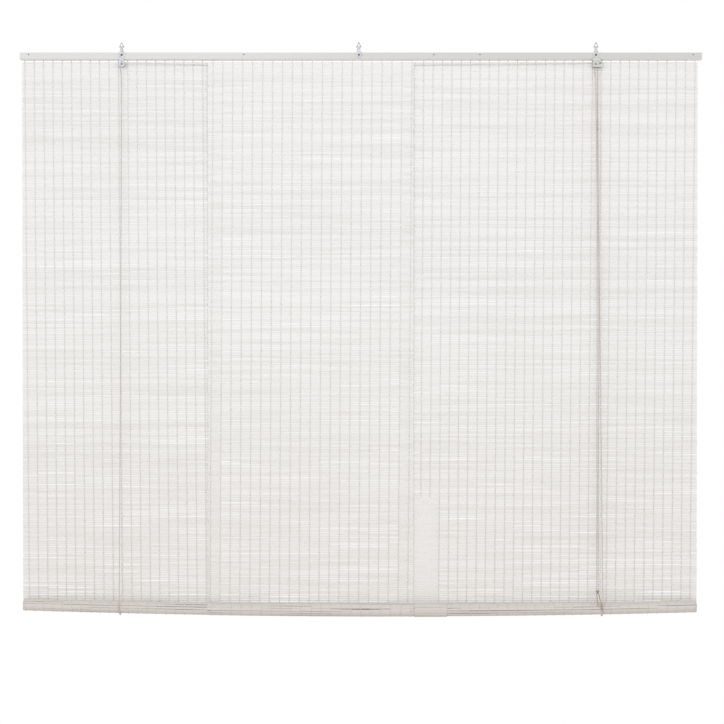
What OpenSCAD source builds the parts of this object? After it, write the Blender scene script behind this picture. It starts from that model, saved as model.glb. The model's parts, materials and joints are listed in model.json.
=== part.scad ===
// Roll-up slat blind: head rail, three woven slat mats, bottom roll, pulley, cord lock and cords.
// Millimetres. X runs along the rail, Y runs back to the wall, Z is up.
// The origin is the centre of the back face of the rail, where it lies on the wall.

/* [Head rail] */
// Length of the two battens of the head rail
rail_length = 2000; // [1600:10:2400]
// Height of the battens
rail_height = 20; // [18:0.5:26]
// Thickness of the front batten
front_batten_depth = 9; // [8:0.5:14]
// Thickness of the back batten
back_batten_depth = 5; // [4.6:0.1:8]
// Space between the battens, in which the mats are held
mat_space = 8; // [7.6:0.1:10]
// Rounding of the long edges of the front batten
batten_edge = 1.2; // [0.4:0.1:3]
// Places of the rail nails along the rail, as shares of half its length
nail_shares = [-0.974, -0.343, 0.214, 0.349, 0.974]; // five nails, each from -0.98 to 0.98
// Height of the nails above the middle of the rail
nail_rise = 4; // [2:0.5:6]
// Radius of a nail's shank
nail_radius = 0.9; // [0.6:0.1:1.2]
// Radius of a nail's head
nail_head_radius = 1.8; // [1.4:0.1:2.4]
// Thickness of a nail's head
nail_head_height = 0.6; // [0.4:0.1:1]

/* [Mats] */
// Height of one slat with the gap under it
slat_pitch = 6.75; // [6:0.05:8]
// Thickness of a slat at its ridge
slat_thickness = 2.2; // [1.8:0.1:2.4]
// Thickness of the mat between two slats
web_thickness = 0.8; // [0.6:0.1:1.2]
// Number of rows of slats
slat_rows = 241; // [200:1:250]
// How far the mats stand up between the battens
mat_tuck = 18; // [16:0.5:18]
// Left end of the left mat
left_mat_start = -997; // [-998:1:-900]
// Right end of the left mat
left_mat_end = -421; // [-440:1:-400]
// Left end of the middle mat
middle_mat_start = -450; // [-470:1:-442]
// Right end of the middle mat
middle_mat_end = 155; // [150:1:170]
// Left end of the right mat
right_mat_start = 128; // [110:1:140]
// Right end of the right mat
right_mat_end = 991; // [900:1:998]
// How far the side mats come forward at their lower ends
side_mat_lean = 3.6; // [3:0.1:3.8]
// How far the middle mat comes forward at its lower end
middle_mat_lean = 0.6; // [0.2:0.1:0.8]
// Number of rows above the first open slit, which shows under the rail
slit_first = 3; // [3:1:6]
// Number of rows from one open slit to the next
slit_step = 7; // [7:1:20]
// Height of an open slit
slit_height = 1; // [0.6:0.1:1.6]
// What a slit leaves whole at each end of a mat
slit_margin = 12; // [8:1:40]

/* [Warp threads] */
// Width of a warp thread
warp_width = 1.6; // [1:0.1:2.4]
// Thickness of a warp thread
warp_thickness = 0.4; // [0.3:0.05:0.5]
// Distance between the warps of the side mats
side_warp_spacing = 27.5; // [26:0.1:28]
// Distance between the warps of the middle mat
middle_warp_spacing = 29.2; // [28:0.1:29.4]
// Distance from the end of a mat to its first warp
warp_margin = 12; // [11:0.5:14]
// Number of warps in the left mat
left_warps = 20; // [10:1:20]
// Number of warps in the middle mat
middle_warps = 21; // [10:1:21]
// Number of warps in the right mat
right_warps = 30; // [10:1:30]

/* [Bottom roll] */
// Outer radius of the roll
roll_radius = 18; // [16:0.5:20]
// Number of turns wound on the rod
roll_turns = 3; // [2:1:3]
// Number of slats in one turn of the roll
slats_per_turn = 14; // [10:1:18]
// Clear space between two turns
turn_gap = 0.5; // [0.3:0.05:0.7]
// Height of the roll's axis below the middle of the rail
roll_drop = 1616; // [1610:1:1640]
// Left end of the roll
roll_start = -990; // [-998:1:-900]
// Right end of the roll
roll_end = 984; // [900:1:998]

/* [Hangers] */
// Place of the middle hanger along the rail
hanger_offset = -6; // [-20:1:20]
// Distance from the middle hanger to each side hanger
hanger_spacing = 695; // [600:5:705]
// Thickness of the plates
plate_thickness = 1.2; // [1:0.1:1.5]
// Radius of the round body of a plate
plate_radius = 10; // [9:0.2:10.4]
// Height of the plate's round body above the middle of the rail
plate_rise = 3.4; // [2.6:0.1:4]
// Width of the plate's neck
neck_width = 9; // [8:0.2:10]
// Height of the ring's bar above the middle of the rail
ring_rise = 26; // [24:0.5:30]
// Radius of the ring's wire
wire_radius = 0.9; // [0.7:0.05:1]
// Radial play of the ring's wire in the plate's curl
wire_play = 0.1; // [0.05:0.01:0.1]
// Outer radius of the curl that holds the ring
curl_radius = 2.2; // [2:0.1:2.4]
// Width of the ring along its bar
ring_width = 13; // [12.4:0.2:15]
// Height of the ring
ring_height = 13.5; // [12:0.5:15]
// Height of the plate screws above the middle of the rail
screw_rise = 3; // [2:0.5:4]
// Radius of a screw's shank
screw_radius = 1.5; // [1.2:0.1:1.6]
// Radius of a screw's head
screw_head_radius = 3; // [2.6:0.1:3.4]
// Height of a screw's head
screw_head_height = 1.7; // [1.4:0.1:2.2]

/* [Pulley and cord lock] */
// Height of the wheels' axles below the middle of the rail
axle_drop = 23.8; // [23:0.2:26]
// Radius of the rim of a wheel
rim_radius = 6.6; // [6.4:0.1:6.8]
// Radius of the middle of the cord on a wheel
cord_turn_radius = 5.2; // [5.1:0.05:5.3]
// Thickness of the left wheel
wheel_width = 5; // [4.6:0.1:5.2]
// Thickness of the lock's wheel, which has two grooves
double_wheel_width = 8.4; // [8:0.1:8.6]
// Radius of the axles and of the cam's pin
axle_radius = 1.5; // [1.4:0.05:1.6]
// Radial play of the wheels and the cam on their pins
axle_play = 0.05; // [0.02:0.01:0.1]
// Play at each side of the wheels and the cam
side_play = 0.4; // [0.3:0.05:0.5]
// Radius of a rivet's head
rivet_head_radius = 2.6; // [2.2:0.1:2.8]
// Height of a rivet's head
rivet_head_height = 1; // [0.8:0.1:1.2]
// Radius of the lower round of the pulley bracket
lobe_radius = 9; // [8.6:0.1:9.4]
// Width of the waist of the pulley bracket
waist_width = 13; // [11:0.5:15]
// Half width of the lock at its left side
lock_left = 9.4; // [9.2:0.1:10]
// Width of the lock's right side at its lower end
lock_right = 20; // [19:0.5:22]
// Place of the cam's pin to the right of the lock's axle
cam_offset = 12.6; // [12.6:0.1:13]
// Height of the cam's pin above the lock's axle
cam_rise = 2.8; // [2.6:0.1:3.2]
// Length of the cam's nose from its pin
cam_nose = 5.9; // [5.6:0.05:5.9]
// Length of the cam's tail from its pin
cam_tail = 12; // [11:0.5:13]
// Number of teeth on the cam's nose
cam_teeth = 5; // [3:1:7]

/* [Cords] */
// Diameter of the cords
cord_diameter = 2.4; // [2:0.1:2.5]
// Number of sides of a cord
cord_sides = 8; // [6:1:12]
// Height of the pull knot below the middle of the rail
knot_drop = 1571; // [1500:1:1575]
// Radius of the pull knot
knot_radius = 5.4; // [4.6:0.1:5.8]
// Height of the pull knot
knot_height = 9; // [7:0.5:10]
// Radius of the stop knots on the back batten
stop_radius = 2.4; // [2.2:0.05:2.4]

/* [Hidden] */
$fn = 48;
// How far a cutter runs past what it cuts
overrun = 1;
// Play between a cord and a wheel, the roll or another cord's end
cord_play = 0.3;
// Play of a cord in its hole
hole_play = 0.2;
// Shares of the sizes of small forms
half_share = 0.5;
tooth_share = 0.86;
cone_share = 0.6;
slot_share = 0.3;
flare_share = 0.86;
lower_share = 0.55;
tip_share = 0.72;
corner_share = 1.15;
rim_share = 0.1;
root_share = 0.22;
rail_depth = front_batten_depth + mat_space + back_batten_depth;
rail_half = rail_height / 2;
front_y = -rail_depth;
inner_y = -back_batten_depth - mat_space;
mat_top = mat_tuck - rail_half;
mat_bottom = mat_top - slat_rows * slat_pitch;
side_y = -back_batten_depth - slat_thickness / 2;
middle_y = inner_y + slat_thickness / 2 + hole_play / 4;
cord_radius = cord_diameter / 2;
left_x = hanger_offset - hanger_spacing;
right_x = hanger_offset + hanger_spacing;
middle_x = hanger_offset;
plate_y = front_y - plate_thickness;
wheel_y = front_y + side_play;
wheel_mid_y = wheel_y + wheel_width / 2;
groove_front_y = wheel_y + double_wheel_width / 4;
groove_rear_y = wheel_y + double_wheel_width * 3 / 4;
axle_z = -axle_drop;
curl_y = plate_y + curl_radius;
roll_y = middle_y - slat_thickness / 2 - middle_mat_lean - warp_thickness - cord_play - roll_radius;
cord_front_y = roll_y - roll_radius - cord_radius - cord_play - warp_thickness;
cord_back_y = side_y - side_mat_lean + slat_thickness / 2 + warp_thickness + cord_play + cord_radius;
strand_top_y = -back_batten_depth / 2;
lock_top = plate_rise - plate_radius * tooth_share;
turn_pitch = slat_thickness + turn_gap;
roll_steps = roll_turns * slats_per_turn;
// The rod is as thick as the innermost slat leaves it room for
rod_radius = roll_radius - slat_thickness - turn_pitch * (2 * roll_steps - 1) / (2 * slats_per_turn);
left_first_warp = left_mat_start + warp_margin;
middle_first_warp = middle_mat_start + warp_margin;
right_first_warp = right_mat_end - warp_margin - (right_warps - 1) * side_warp_spacing;
// The layer between the side mats and the middle mat, in which the transfer cord runs
layer_y = (side_y + middle_y) / 2;

// Middle of a mat in Y at a height.
function mat_y(y, lean, z) = y - lean * (mat_top - z) / (mat_top - mat_bottom);
// One side of a mat's section, from its top to its bottom: valleys and ridges by turns.
function mat_side(y, lean, sign) = [
    for (k = [0 : 2 * slat_rows])
        let (z = mat_top - k * slat_pitch / 2)
        [mat_y(y, lean, z) + sign * (k % 2 == 0 ? web_thickness : slat_thickness) / 2, z]
];
function backwards(list) = [for (k = [len(list) - 1 : -1 : 0]) list[k]];
function unit_of(v) = v / norm(v);
function heading(p, k) = unit_of(p[min(k + 1, len(p) - 1)] - p[max(k - 1, 0)]);
// A ring of points round one point of a route.
function ring_of(p, k, radius, beside) =
    let (t = heading(p, k), u = unit_of(cross(t, beside)), v = cross(t, u))
    [for (j = [0 : cord_sides - 1])
        p[k] + radius * (cos(360 * j / cord_sides) * u + sin(360 * j / cord_sides) * v)];
// Points on a quarter or half circle in X and Z, at one Y.
function arc_xz(x, y, z, radius, from, to, steps) = [
    for (k = [0 : steps])
        let (a = from + (to - from) * k / steps)
        [x + radius * cos(a), y, z + radius * sin(a)]
];
// One side of the wound slats: a spiral of ridges and valleys, from the back of the roll inwards.
function spiral_side(sign) = [
    for (k = [0 : 2 * roll_steps])
        let (a = 180 * (1 - k) / slats_per_turn,
             ridge = (k % 2 == 0 ? web_thickness : slat_thickness) / 2,
             r = roll_radius - slat_thickness / 2 - turn_pitch * k / (2 * slats_per_turn) + sign * ridge)
        [r * cos(a), r * sin(a)]
];

// Places on the transfer cord between its wheels: shares of the way along, of the way back to its layer,
// and of the wheel's turn above the axle.
transfer_shares = [
    [0.043, 0.05, 0.65], [0.108, 0.4, 0.23], [0.165, 1, -0.08], [0.237, 1, -0.19], [0.5, 1, -0.27],
    [0.568, 1, -0.19], [0.64, 1, -0.08], [0.712, 0.75, 0.12], [0.82, 0.6, 0.38], [0.935, 0.48, 0.77]];
// Places on the pull cords: shares of the way down, of the way forward to the knot, and of the wheel's turn aside.
rear_pull_shares = [[0.06, 0.04, 1.03], [0.45, 0.42, 0.85], [0.82, 0.8, 0.7]];
front_pull_shares = [[0.06, 0.04, 1.08], [0.18, 0.18, 1.5], [0.45, 0.46, 1.75], [0.82, 0.82, 1.55]];
// Places on the front strands: shares of the way down, and of the wheel's turn aside.
left_front_shares = [[0.032, -0.15], [0.5, -0.55]];
right_front_shares = [[0.032, 0], [0.175, 0.35], [0.42, 1.9], [0.62, 2.55]];
// Places beside a hanger, as shares of the wheel's turn.
left_foot_share = -1.15;
right_foot_share = 3.65;
knot_share = 1.17;
// Place of the strands on the knot, as a share of its radius.
strand_share = 0.6;
// Places on the cord's tails: shares of the wheel's turn aside, of the way forward to the cord in front of the roll,
// and of the knot's height below it.
short_tail_shares = [[-0.6, 0.7, -1.4], [-0.45, 1.15, -2.9], [-0.35, 1.15, -3.8]];
long_tail_shares = [[0.75, 0.7, -1.4], [1.55, 1.15, -2.9], [1.6, 1.15, -5.3]];
knot_x = right_x + knot_share * cord_turn_radius;
knot_y = roll_y - roll_radius * slot_share;
knot_top = knot_height / 2 - knot_drop;
knot_foot = -knot_height / 2 - knot_drop;
strand_gap = knot_radius * strand_share;
left_foot_x = left_x + left_foot_share * cord_turn_radius;
right_foot_x = right_x + right_foot_share * cord_turn_radius;
function blend(a, b, share) = a + share * (b - a);
transfer_route = concat(
    arc_xz(left_x, wheel_mid_y, axle_z, cord_turn_radius, 180, 90, 4),
    [for (p = transfer_shares)
        [blend(left_x, right_x, p[0]), blend(wheel_mid_y, layer_y, p[1]), axle_z + p[2] * cord_turn_radius]],
    arc_xz(right_x, groove_rear_y, axle_z, cord_turn_radius, 90, 0, 4));
function front_route(x, y, shares, foot_x) = concat(
    [[x - cord_turn_radius, y, axle_z - cord_play]],
    [for (p = shares)
        [x + p[1] * cord_turn_radius, blend(y, cord_front_y, p[0]), blend(axle_z, -roll_drop, p[0])]],
    [[foot_x, cord_front_y, cord_play - roll_drop]]);
left_front_route = front_route(left_x, wheel_mid_y, left_front_shares, left_foot_x);
right_front_route = front_route(right_x, groove_front_y, right_front_shares, right_foot_x);
function back_route(x) = [
    [x, strand_top_y, rail_half], [x, strand_top_y, -rail_half], [x, cord_back_y, cord_play - roll_drop]];
left_back_route = back_route(left_foot_x);
right_back_route = back_route(right_foot_x);
// Parts of a loop under the roll
loop_steps = 6;
loop_y = (cord_front_y + cord_back_y) / 2;
loop_radius = (cord_back_y - cord_front_y) / 2;
function loop_route(x) = [
    for (k = [0 : loop_steps])
        let (a = 180 * k / loop_steps)
        [x, loop_y - loop_radius * cos(a), -roll_drop - loop_radius * sin(a)]
];
function pull_points(list, y) = [
    for (p = list)
        [right_x + p[2] * cord_turn_radius, blend(y, knot_y, p[1]), blend(axle_z, knot_top, p[0])]
];
rear_pull_route = concat(
    [[right_x + cord_turn_radius, groove_rear_y, axle_z - cord_play]],
    pull_points(rear_pull_shares, groove_rear_y),
    [[knot_x - strand_gap, knot_y, knot_top]]);
front_pull_route = concat(
    arc_xz(right_x, groove_front_y, axle_z, cord_turn_radius, 180, 0, 8),
    pull_points(front_pull_shares, groove_front_y),
    [[knot_x + strand_gap, knot_y, knot_top]]);
function tail_points(list) = [
    for (p = list)
        [knot_x + p[0] * cord_turn_radius, blend(knot_y, cord_front_y, p[1]), knot_foot + p[2] * knot_height]
];
function tail_route(x, shares) = concat(
    [[x, knot_y, knot_foot - hole_play], [x, knot_y, knot_foot - cord_diameter]], tail_points(shares));
short_tail_route = tail_route(knot_x - strand_gap, short_tail_shares);
long_tail_route = tail_route(knot_x + strand_gap, long_tail_shares);

// A section in Y and Z drawn out along X.
module along_x(start, end) {
    translate([start, 0, 0]) rotate([90, 0, 90]) linear_extrude(height = end - start) children();
}

// A form that is turned about Y, with its own Z along +Y.
module turned_y(x, y, z) {
    translate([x, y, z]) rotate([-90, 0, 0]) children();
}

// A sheet outline in X and Z, from its front face back.
module sheet(x, y, thickness) {
    translate([x, y + thickness, 0]) rotate([90, 0, 0]) linear_extrude(height = thickness) children();
}

module cord(route, beside) {
    count = len(route);
    points = [for (k = [0 : count - 1]) each ring_of(route, k, cord_radius, beside)];
    sides = [
        for (k = [0 : count - 2])
            for (j = [0 : cord_sides - 1])
                let (m = (j + 1) % cord_sides)
                [k * cord_sides + m, k * cord_sides + j, (k + 1) * cord_sides + j, (k + 1) * cord_sides + m]
    ];
    first = [for (j = [0 : cord_sides - 1]) j];
    last = [for (j = [cord_sides - 1 : -1 : 0]) (count - 1) * cord_sides + j];
    polyhedron(points = points, faces = concat([first], sides, [last]), convexity = 4);
}

module nail_holes() {
    for (share = nail_shares)
        turned_y(share * rail_length / 2, front_y, nail_rise)
            cylinder(r = nail_radius, h = rail_depth - back_batten_depth * half_share);
}

module front_batten() {
    color("gainsboro")
    difference() {
        along_x(-rail_length / 2, rail_length / 2)
            polygon([
                [front_y + batten_edge, -rail_half], [inner_y, -rail_half], [inner_y, rail_half],
                [front_y + batten_edge, rail_half], [front_y, rail_half - batten_edge],
                [front_y, batten_edge - rail_half]]);
        nail_holes();
        for (x = [left_x, middle_x, right_x])
            turned_y(x, front_y, screw_rise)
                cylinder(r = screw_radius, h = front_batten_depth * tooth_share);
    }
}

module back_batten() {
    color("gainsboro")
    difference() {
        along_x(-rail_length / 2, rail_length / 2)
            polygon([[-back_batten_depth, -rail_half], [0, -rail_half], [0, rail_half], [-back_batten_depth, rail_half]]);
        nail_holes();
        for (x = [left_foot_x, right_foot_x])
            translate([x, strand_top_y, -rail_half - overrun])
                cylinder(r = cord_radius + hole_play, h = rail_height + 2 * overrun);
    }
}

module rail_nails() {
    color("dimgray")
    for (share = nail_shares)
        turned_y(share * rail_length / 2, front_y, nail_rise)
            rotate_extrude()
                polygon([
                    [0, -nail_head_height], [nail_head_radius, -nail_head_height * half_share], [nail_head_radius, 0],
                    [nail_radius, 0], [nail_radius, rail_depth - back_batten_depth * tooth_share],
                    [0, rail_depth - back_batten_depth * half_share]]);
}

module mat(start, end, y, lean) {
    difference() {
        along_x(start, end)
            polygon(concat(mat_side(y, lean, -1), backwards(mat_side(y, lean, 1))));
        nail_holes();
        for (k = [slit_first : slit_step : slat_rows - slit_step])
            translate([start + slit_margin, y - lean - slat_thickness, mat_top - k * slat_pitch - slit_height / 2])
                cube([end - start - 2 * slit_margin, lean + 2 * slat_thickness, slit_height]);
    }
}

module left_mat() {
    color("whitesmoke") mat(left_mat_start, left_mat_end, side_y, side_mat_lean);
}

module middle_mat() {
    color("whitesmoke") mat(middle_mat_start, middle_mat_end, middle_y, middle_mat_lean);
}

module right_mat() {
    color("whitesmoke") mat(right_mat_start, right_mat_end, side_y, side_mat_lean);
}

// Warp threads on both faces of a mat, from the foot of the rail to the foot of the mat.
module warps(first, spacing, count, y, lean) {
    top_y = mat_y(y, lean, -rail_half);
    foot_y = mat_y(y, lean, mat_bottom);
    ridge = slat_thickness / 2;
    for (k = [0 : count - 1])
        for (sign = [-1, 1])
            along_x(first + k * spacing - warp_width / 2, first + k * spacing + warp_width / 2)
                polygon([
                    [top_y + sign * ridge, -rail_half], [top_y + sign * (ridge + warp_thickness), -rail_half],
                    [foot_y + sign * (ridge + warp_thickness), mat_bottom], [foot_y + sign * ridge, mat_bottom]]);
}

module left_warps() {
    color("lightgray") warps(left_first_warp, side_warp_spacing, left_warps, side_y, side_mat_lean);
}

module middle_warps() {
    color("lightgray") warps(middle_first_warp, middle_warp_spacing, middle_warps, middle_y, middle_mat_lean);
}

module right_warps() {
    color("lightgray") warps(right_first_warp, side_warp_spacing, right_warps, side_y, side_mat_lean);
}

// The wound slats: a strip of ridges rolled up from its lower end, with its turns clear of each other.
module bottom_roll() {
    color("whitesmoke")
    along_x(roll_start, roll_end)
        translate([roll_y, -roll_drop]) polygon(concat(spiral_side(-1), backwards(spiral_side(1))));
}

module roll_rod() {
    color("tan")
    along_x(roll_start, roll_end) translate([roll_y, -roll_drop]) circle(r = rod_radius);
}

module plate_outline() {
    translate([0, plate_rise]) circle(r = plate_radius);
    polygon([
        [-plate_radius * flare_share, plate_rise + plate_radius * half_share],
        [plate_radius * flare_share, plate_rise + plate_radius * half_share],
        [neck_width / 2, ring_rise * lower_share + rail_half * slot_share],
        [neck_width / 2, ring_rise], [-neck_width / 2, ring_rise],
        [-neck_width / 2, ring_rise * lower_share + rail_half * slot_share]]);
}

// The plate's rolled top edge, in which the bar of the ring turns.
module curl(x) {
    difference() {
        translate([x - neck_width / 2, curl_y, ring_rise]) rotate([0, 90, 0])
            cylinder(r = curl_radius, h = neck_width);
        curl_bore(x);
    }
}

module curl_bore(x) {
    translate([x - neck_width / 2 - overrun, curl_y, ring_rise]) rotate([0, 90, 0])
        cylinder(r = wire_radius + wire_play, h = neck_width + 2 * overrun);
}

module screw_hole(x) {
    turned_y(x, plate_y - overrun, screw_rise)
        cylinder(r = screw_radius, h = plate_thickness + 2 * overrun);
}

module pin_hole(x, z, depth) {
    turned_y(x, plate_y - overrun, z) cylinder(r = axle_radius, h = depth + 2 * overrun);
}

module pulley_bracket() {
    back_y = wheel_y + wheel_width + side_play;
    color("silver")
    difference() {
        union() {
            sheet(left_x, plate_y, plate_thickness) {
                plate_outline();
                translate([-waist_width / 2, axle_z]) square([waist_width, plate_rise - axle_z]);
                translate([0, axle_z]) circle(r = lobe_radius);
            }
            sheet(left_x, back_y, plate_thickness) translate([0, axle_z]) circle(r = lobe_radius);
            translate([left_x - neck_width / 4, plate_y, axle_z - lobe_radius])
                cube([neck_width / 2, back_y + plate_thickness - plate_y, plate_thickness]);
            curl(left_x);
        }
        curl_bore(left_x);
        screw_hole(left_x);
        pin_hole(left_x, axle_z, back_y + plate_thickness - plate_y);
    }
}

module middle_hanger_plate() {
    color("silver")
    difference() {
        union() {
            sheet(middle_x, plate_y, plate_thickness) plate_outline();
            curl(middle_x);
        }
        curl_bore(middle_x);
        screw_hole(middle_x);
    }
}

module lock_outline() {
    polygon([
        [-lock_left, lock_top], [-lock_left, axle_z - lobe_radius], [lock_right, axle_z - lobe_radius],
        [lock_right * cone_share, lock_top]]);
}

module lock_body() {
    back_y = wheel_y + double_wheel_width + side_play;
    color("silver")
    difference() {
        union() {
            sheet(right_x, plate_y, plate_thickness) {
                plate_outline();
                lock_outline();
            }
            sheet(right_x, back_y, plate_thickness)
                intersection() {
                    lock_outline();
                    translate([-lock_left, axle_z - lobe_radius])
                        square([lock_left + lock_right, lobe_radius + cord_turn_radius + cord_diameter]);
                }
            translate([right_x - lock_left, plate_y, axle_z - lobe_radius])
                cube([plate_thickness, back_y + plate_thickness - plate_y, lobe_radius]);
            curl(right_x);
        }
        curl_bore(right_x);
        screw_hole(right_x);
        pin_hole(right_x, axle_z, back_y + plate_thickness - plate_y);
        pin_hole(right_x + cam_offset, axle_z + cam_rise, back_y + plate_thickness - plate_y);
    }
}

// A triangular wire ring with its bar in the curl of a plate.
module hanging_ring(x) {
    side_length = norm([ring_width / 2, ring_height]);
    tilt = atan2(ring_width / 2, ring_height);
    corner = wire_radius * corner_share;
    color("silver")
    translate([x, curl_y, ring_rise]) {
        translate([-ring_width / 2, 0, 0]) rotate([0, 90, 0]) cylinder(r = wire_radius, h = ring_width);
        for (sign = [-1, 1]) {
            translate([sign * ring_width / 2, 0, 0]) sphere(r = corner);
            translate([sign * ring_width / 2, 0, 0]) rotate([0, -sign * tilt, 0])
                cylinder(r = wire_radius, h = side_length);
        }
        translate([0, 0, ring_height]) sphere(r = corner);
    }
}

module left_ring() {
    hanging_ring(left_x);
}

module middle_ring() {
    hanging_ring(middle_x);
}

module right_ring() {
    hanging_ring(right_x);
}

module plate_screws() {
    color("dimgray")
    for (x = [left_x, middle_x, right_x])
        turned_y(x, plate_y, screw_rise)
            difference() {
                rotate_extrude()
                    polygon([
                        [0, -screw_head_height], [screw_head_radius * cone_share, -screw_head_height],
                        [screw_head_radius, -screw_head_height * half_share], [screw_head_radius, 0],
                        [screw_radius, 0], [screw_radius, plate_thickness + front_batten_depth * cone_share],
                        [0, plate_thickness + front_batten_depth * tooth_share]]);
                for (turn = [0, 90])
                    rotate([0, 0, turn])
                        translate([-screw_head_radius * cone_share, -screw_head_radius * slot_share / 2, -screw_head_height - overrun])
                            cube([2 * screw_head_radius * cone_share, screw_head_radius * slot_share, overrun + screw_head_height * half_share]);
            }
}

// A grooved wheel that turns about Y; each groove is as wide as its share of the wheel.
module grooved_wheel(x, width, grooves) {
    root = cord_turn_radius - cord_radius - cord_play;
    step = width / grooves;
    turned_y(x, wheel_y, axle_z)
        rotate_extrude()
            polygon(concat(
                [[axle_radius + axle_play, 0]],
                [for (k = [0 : grooves - 1]) each [
                    [rim_radius, k * step], [rim_radius, k * step + step * rim_share],
                    [root, k * step + step * root_share], [root, (k + 1) * step - step * root_share],
                    [rim_radius, (k + 1) * step - step * rim_share]]],
                [[rim_radius, width], [axle_radius + axle_play, width]]));
}

module pulley_wheel() {
    color("lightsteelblue") grooved_wheel(left_x, wheel_width, 1);
}

module lock_wheel() {
    color("lightsteelblue") grooved_wheel(right_x, double_wheel_width, 2);
}

// A rivet from the front cheek to the back cheek, with a head on each.
module rivet(x, z, width) {
    reach = width + 2 * side_play + 2 * plate_thickness;
    color("darkgray")
    turned_y(x, plate_y, z)
        rotate_extrude()
            polygon([
                [0, -rivet_head_height], [rivet_head_radius * cone_share, -rivet_head_height], [rivet_head_radius, 0],
                [axle_radius, 0], [axle_radius, reach], [rivet_head_radius, reach],
                [rivet_head_radius * cone_share, reach + rivet_head_height], [0, reach + rivet_head_height]]);
}

module pulley_axle() {
    rivet(left_x, axle_z, wheel_width);
}

module lock_axle() {
    rivet(right_x, axle_z, double_wheel_width);
}

module lock_cam_pin() {
    rivet(right_x + cam_offset, axle_z + cam_rise, double_wheel_width);
}

// The cam: a toothed nose that bears on the cords, and a tail that shows beside the lock.
module lock_cam() {
    hub = cam_nose * tip_share;
    color("slategray")
    translate([right_x + cam_offset, wheel_y + double_wheel_width, axle_z + cam_rise]) rotate([90, 0, 0])
        linear_extrude(height = double_wheel_width)
            difference() {
                union() {
                    circle(r = hub);
                    polygon(concat(
                        [[0, 0]],
                        [for (k = [0 : 2 * cam_teeth])
                            let (a = 150 + 60 * k / (2 * cam_teeth), r = cam_nose * (k % 2 == 0 ? tooth_share : 1))
                            [r * cos(a), r * sin(a)]]));
                    polygon([
                        [-hub * half_share, hub * half_share], [hub * half_share, -hub * half_share],
                        [cam_tail * tip_share, cam_tail * cone_share], [cam_tail * half_share, cam_tail * tip_share]]);
                }
                circle(r = axle_radius + axle_play);
            }
}

module left_lift_cord_front() {
    color("ivory") cord(left_front_route, [1, 0, 0]);
}

module left_lift_cord_back() {
    color("ivory") cord(left_back_route, [1, 0, 0]);
}

module left_cord_loop() {
    color("ivory") cord(loop_route(left_foot_x), [1, 0, 0]);
}

module right_lift_cord_front() {
    color("ivory") cord(right_front_route, [1, 0, 0]);
}

module right_lift_cord_back() {
    color("ivory") cord(right_back_route, [1, 0, 0]);
}

module right_cord_loop() {
    color("ivory") cord(loop_route(right_foot_x), [1, 0, 0]);
}

module transfer_cord() {
    color("ivory") cord(transfer_route, [0, 1, 0]);
}

module rear_pull_cord() {
    color("ivory") cord(rear_pull_route, [0, 1, 0]);
}

module front_pull_cord() {
    color("ivory") cord(front_pull_route, [0, 1, 0]);
}

module pull_knot() {
    color("tan")
    translate([knot_x, knot_y, knot_foot])
        rotate_extrude()
            polygon([
                [0, 0], [knot_radius * tip_share, 0], [knot_radius, knot_height * slot_share],
                [knot_radius, knot_height * tip_share], [knot_radius * tip_share, knot_height], [0, knot_height]]);
}

module short_tail() {
    color("ivory") cord(short_tail_route, [1, 0, 0]);
}

module long_tail() {
    color("ivory") cord(long_tail_route, [1, 0, 0]);
}

// Stop knots of the two lift cords, on top of the back batten.
module stop_knots() {
    color("ivory")
    for (x = [left_foot_x, right_foot_x])
        difference() {
            translate([x, strand_top_y, rail_half + stop_radius * tip_share]) sphere(r = stop_radius);
            translate([x - stop_radius - overrun, strand_top_y - stop_radius - overrun, rail_half - stop_radius])
                cube([2 * (stop_radius + overrun), 2 * (stop_radius + overrun), stop_radius]);
        }
}

front_batten();
back_batten();
rail_nails();
left_mat();
middle_mat();
right_mat();
left_warps();
middle_warps();
right_warps();
bottom_roll();
roll_rod();
pulley_bracket();
middle_hanger_plate();
lock_body();
left_ring();
middle_ring();
right_ring();
plate_screws();
pulley_wheel();
pulley_axle();
lock_wheel();
lock_axle();
lock_cam();
lock_cam_pin();
left_lift_cord_front();
left_lift_cord_back();
left_cord_loop();
right_lift_cord_front();
right_lift_cord_back();
right_cord_loop();
transfer_cord();
rear_pull_cord();
front_pull_cord();
pull_knot();
short_tail();
long_tail();
stop_knots();
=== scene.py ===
"""A white-painted bamboo roll-up blind: slat mats on a head rail, wound up from below by cords.

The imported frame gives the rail, hangers, rings and lock. This file weaves the mats, winds the roll,
lays the cords, and gives every surface its finish. All lengths are in metres.
"""

import json
import logging
import math
import random
from dataclasses import dataclass, field, replace
from enum import Enum
from typing import Any, Dict, List, Optional, Sequence, Tuple, Union

import bmesh
import bpy
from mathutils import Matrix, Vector, noise


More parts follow.
